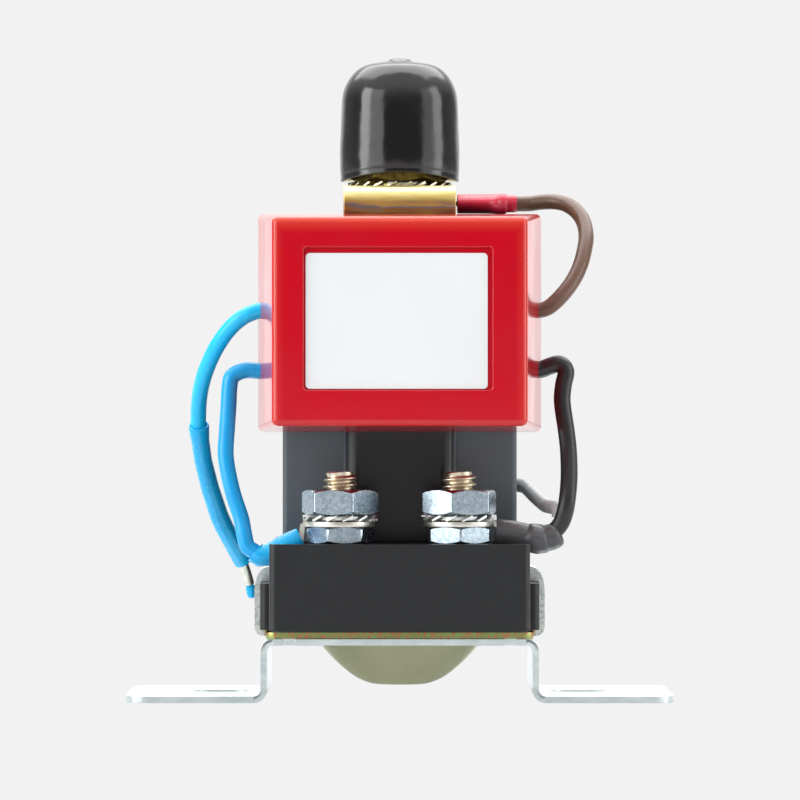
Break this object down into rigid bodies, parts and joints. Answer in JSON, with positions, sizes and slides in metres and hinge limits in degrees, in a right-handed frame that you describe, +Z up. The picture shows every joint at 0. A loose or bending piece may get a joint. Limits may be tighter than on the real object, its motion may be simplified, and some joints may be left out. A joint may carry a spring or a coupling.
{
  "type": "battery isolator relay",
  "caption": "Solenoid battery isolator relay on a hat bracket, with load studs, a control box wired to them, and a capped coil neck.",
  "frame": {"origin": "midway between the two foot slots, on the underside of the bracket's feet", "axes": "+X across the feet to the right, +Y away from the control box, +Z up along the plunger and the coil neck"},
  "size_m": [0.103, 0.075, 0.1218],
  "materials": {
    "bright_zinc": "bright zinc plated steel sheet",
    "yellow_zinc": "yellow chromated zinc plated steel",
    "gasket_fibre": "compressed fibre",
    "black_phenolic": "moulded phenolic, satin",
    "black_nylon": "moulded nylon, satin",
    "stud_bronze": "threaded bronze",
    "copper": "copper",
    "zinc_hardware": "bright zinc plated steel",
    "tinned_copper": "tinned",
    "natural_nylon": "moulded nylon, natural",
    "enamelled_copper": "enamelled winding",
    "drawn_brass": "drawn brass",
    "plain_steel": "turned steel",
    "black_vinyl": "dip moulded vinyl, gloss",
    "red_abs": "moulded ABS, gloss",
    "white_label": "plain satin label",
    "board_laminate": "glass epoxy laminate",
    "component_plastic": "moulded epoxy",
    "red_vinyl": "translucent vinyl",
    "blue_sleeve_vinyl": "vinyl sleeve",
    "heat_shrink": "shrunk polyolefin",
    "blue_pvc": "PVC insulation",
    "black_pvc": "PVC insulation",
    "brown_pvc": "PVC insulation"
  },
  "bodies": {
    "root": {"mounting_bracket": "bright_zinc", "dome_cover": "yellow_zinc", "cover_gasket": "gasket_fibre", "contact_base": "black_phenolic", "left_load_stud": "stud_bronze", "right_load_stud": "stud_bronze", "left_contact_bar": "copper", "right_contact_bar": "copper", "left_jam_nut": "zinc_hardware", "right_jam_nut": "zinc_hardware", "left_ring_terminal": "tinned_copper", "right_ring_terminal": "tinned_copper", "blue_terminal_sleeve": "blue_sleeve_vinyl", "black_terminal_sleeve": "heat_shrink", "coil_housing": "black_nylon", "yoke_frame": "yellow_zinc", "pole_plate": "yellow_zinc", "coil_bobbin": "natural_nylon", "coil_winding": "enamelled_copper", "guide_tube": "drawn_brass", "fixed_core": "plain_steel", "core_lock_washer": "yellow_zinc", "core_nut": "zinc_hardware", "return_spring": "plain_steel", "control_box": "red_abs", "box_label": "white_label", "box_back_cover": "red_abs", "circuit_board": "board_laminate", "board_components": "component_plastic", "coil_tab": "drawn_brass", "coil_receptacle": "drawn_brass", "red_terminal_cover": "red_vinyl", "blue_sense_wire": "blue_pvc", "black_sense_wire": "black_pvc", "brown_coil_wire": "brown_pvc", "coil_return_wire": "black_pvc", "blue_override_lead": "blue_pvc", "override_connector": "blue_sleeve_vinyl", "override_pin": "tinned_copper", "override_tip": "blue_sleeve_vinyl"},
    "plunger_body": {"plunger": "plain_steel", "plunger_rod": "plain_steel", "upper_bush": "natural_nylon", "contact_disc": "copper", "lower_bush": "natural_nylon", "retaining_clip": "plain_steel"},
    "left_washer_body": {"left_lock_washer": "zinc_hardware"},
    "left_nut_body": {"left_terminal_nut": "zinc_hardware"},
    "right_washer_body": {"right_lock_washer": "zinc_hardware"},
    "right_nut_body": {"right_terminal_nut": "zinc_hardware"},
    "cap_body": {"neck_cap": "black_vinyl"}
  },
  "joints": [
    {"name": "plunger_slide", "type": "slide", "parent": "root", "child": "plunger_body", "axis": [0, 0, 1], "range_m": [0, 0.002], "stiffness_N_per_m": 900, "springref_m": -0.006, "deforming": ["return_spring"]},
    {"name": "left_nut_travel", "type": "slide", "parent": "root", "child": "left_washer_body", "axis": [0, 0, 1], "range_m": [0, 0.00762]},
    {"name": "left_nut_turn", "type": "hinge", "parent": "left_washer_body", "child": "left_nut_body", "pos_m": [-0.011, -0.033, 0.0378], "axis": [0, 0, 1], "range_deg": [0, 2160]},
    {"name": "right_nut_travel", "type": "slide", "parent": "root", "child": "right_washer_body", "axis": [0, 0, 1], "range_m": [0, 0.00762]},
    {"name": "right_nut_turn", "type": "hinge", "parent": "right_washer_body", "child": "right_nut_body", "pos_m": [0.011, -0.033, 0.0378], "axis": [0, 0, 1], "range_deg": [0, 2160]},
    {"name": "cap_lift", "type": "slide", "parent": "root", "child": "cap_body", "axis": [0, 0, 1], "range_m": [0, 0.016]}
  ],
  "couplings": [
    {"joint": "left_nut_travel", "follows": "left_nut_turn", "m_per_rad": 0.00020213},
    {"joint": "right_nut_travel", "follows": "right_nut_turn", "m_per_rad": 0.00020213}
  ]
}
